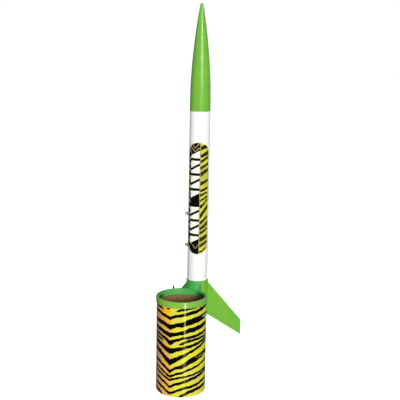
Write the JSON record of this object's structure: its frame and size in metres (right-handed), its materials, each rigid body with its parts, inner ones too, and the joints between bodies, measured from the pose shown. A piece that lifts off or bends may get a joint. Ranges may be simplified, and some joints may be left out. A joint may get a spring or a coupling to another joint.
{
  "type": "model rocket",
  "caption": "Slim model rocket with an ogive nose, two swept fins and a wide open stabilising tube hung beside the body in a moulded ring.",
  "frame": {"origin": "on the launch rod's axis, at the middle of the lower launch lug", "axes": "+Z along the body towards the nose tip, -Y towards the wide stabilising tube, +X to the fin on the right as seen from the stabilising tube's side"},
  "size_m": [0.1056, 0.089, 0.4552],
  "materials": {
    "lime_plastic": "glossy fluorescent lime moulding",
    "white_card": "smooth white coated paper tube",
    "printed_label": "glossy printed label, black and yellow stripes",
    "grey_plastic": "grey moulded plastic",
    "kraft_card": "bare brown spiral-wound card",
    "printed_wrap": "glossy printed wrap, black stripes on yellow and orange",
    "motor_paper": "tan wound paper",
    "clay": "pressed dry clay",
    "pressed_powder": "dark pressed powder",
    "masking_tape": "creped masking tape",
    "tissue": "crumpled soft tissue",
    "canopy_film": "thin folded plastic film",
    "cotton_line": "twisted cotton line",
    "elastic_cord": "round braided elastic"
  },
  "bodies": {
    "airframe": {"body_tube": "white_card", "body_label": "printed_label", "launch_lug_lower": "grey_plastic", "launch_lug_upper": "grey_plastic", "fin_can": "lime_plastic", "fin_right": "lime_plastic", "fin_left": "lime_plastic", "stabiliser_tube": "kraft_card", "stabiliser_wrap": "printed_wrap", "motor_tube": "motor_paper", "thrust_ring": "motor_paper", "centering_ring_aft": "kraft_card", "centering_ring_forward": "kraft_card", "recovery_wadding_lower": "tissue", "recovery_wadding_middle": "tissue", "recovery_wadding_upper": "tissue", "shock_cord": "elastic_cord", "shock_cord_mount": "masking_tape"},
    "nose": {"nose_cone": "lime_plastic", "nose_base_cap": "lime_plastic", "parachute_canopy": "canopy_film", "shroud_lines": "cotton_line"},
    "motor": {"motor_casing": "motor_paper", "motor_nozzle": "clay", "propellant_grain": "pressed_powder", "delay_grain": "clay", "ejection_charge": "pressed_powder", "ejection_cap": "clay", "motor_friction_tape": "masking_tape"}
  },
  "joints": [
    {"name": "nose_slide", "type": "slide", "parent": "airframe", "child": "nose", "axis": [0, 0, 1], "range_m": [0, 0.1], "deforming": ["shock_cord"]},
    {"name": "motor_slide", "type": "slide", "parent": "airframe", "child": "motor", "axis": [0, 0, -1], "range_m": [0, 0.08]}
  ]
}
